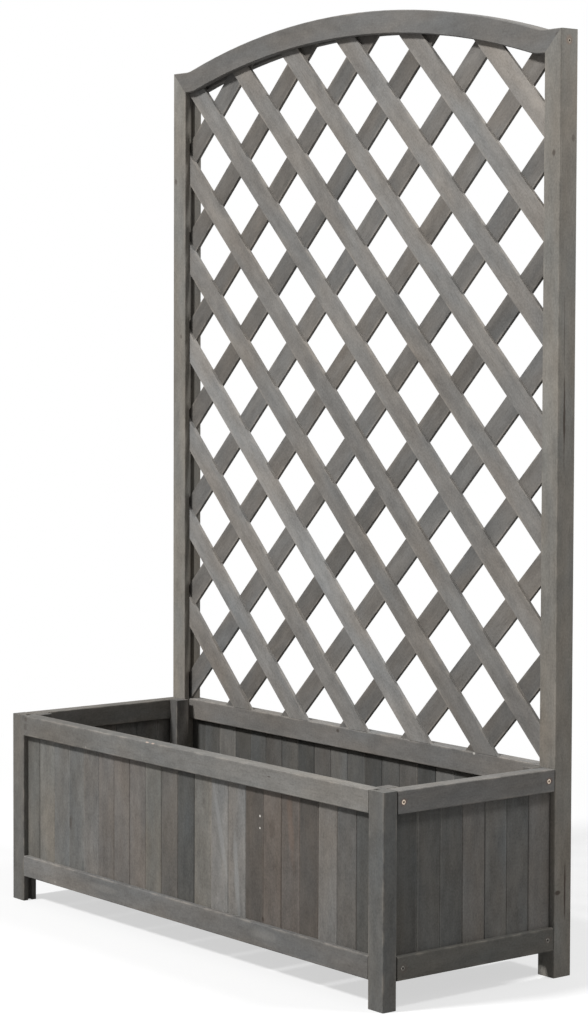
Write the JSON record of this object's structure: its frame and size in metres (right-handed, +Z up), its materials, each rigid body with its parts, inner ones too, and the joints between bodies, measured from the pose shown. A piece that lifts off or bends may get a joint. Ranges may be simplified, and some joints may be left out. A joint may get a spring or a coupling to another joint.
{
  "type": "planter with trellis",
  "caption": "Rectangular softwood planter box on short legs with a tall arched lattice trellis rising from its rear frame",
  "frame": {"origin": "on the floor, under the middle of the whole piece (bottom centre of its box)", "axes": "+Z up, -Y is the front (the long low side of the box), the trellis stands at +Y, X runs along the box's length"},
  "size_m": [1, 0.38, 1.5179],
  "materials": {
    "trellis_frame": "weathered warm-grey stain over fine straight grain, matt",
    "planter_frame": "weathered warm-grey stain over fine straight grain, matt",
    "front_slats": "thin sawn slats in warm-grey stain, matt",
    "back_slats": "thin sawn slats in darker brownish-grey stain, matt",
    "boards": "narrow V-jointed boards, grey stain with strong board to board variation",
    "cleats": "square battens in grey stain",
    "floor_timber": "sawn battens and floor boards in grey stain",
    "screws": "yellowish passivated steel, slightly dulled"
  },
  "bodies": {
    "root": {"arch_rail_screws": "screws", "back_slat_01": "back_slats", "back_slat_02": "back_slats", "back_slat_03": "back_slats", "back_slat_04": "back_slats", "back_slat_05": "back_slats", "back_slat_06": "back_slats", "back_slat_07": "back_slats", "back_slat_08": "back_slats", "back_slat_09": "back_slats", "back_slat_10": "back_slats", "back_slat_11": "back_slats", "back_slat_12": "back_slats", "floor_board_1": "floor_timber", "floor_board_2": "floor_timber", "floor_board_3": "floor_timber", "floor_board_4": "floor_timber", "floor_board_5": "floor_timber", "floor_board_6": "floor_timber", "floor_board_7": "floor_timber", "floor_board_8": "floor_timber", "front_boards": "boards", "front_bottom_rail": "planter_frame", "front_ledger": "floor_timber", "front_left_cleat": "cleats", "front_left_leg": "planter_frame", "front_right_cleat": "cleats", "front_right_leg": "planter_frame", "front_slat_01": "front_slats", "front_slat_02": "front_slats", "front_slat_03": "front_slats", "front_slat_04": "front_slats", "front_slat_05": "front_slats", "front_slat_06": "front_slats", "front_slat_07": "front_slats", "front_slat_08": "front_slats", "front_slat_09": "front_slats", "front_slat_10": "front_slats", "front_slat_11": "front_slats", "front_slat_12": "front_slats", "front_top_rail": "planter_frame", "left_bottom_rail": "planter_frame", "left_side_boards": "boards", "left_top_rail": "planter_frame", "rear_boards": "boards", "rear_bottom_rail": "planter_frame", "rear_ledger": "floor_timber", "rear_left_cleat": "cleats", "rear_right_cleat": "cleats", "right_bottom_rail": "planter_frame", "right_side_boards": "boards", "right_top_rail": "planter_frame", "side_frame_screws": "screws", "trellis_arch_rail": "trellis_frame", "trellis_left_post": "trellis_frame", "trellis_mid_rail": "planter_frame", "trellis_right_post": "trellis_frame"}
  },
  "joints": []
}
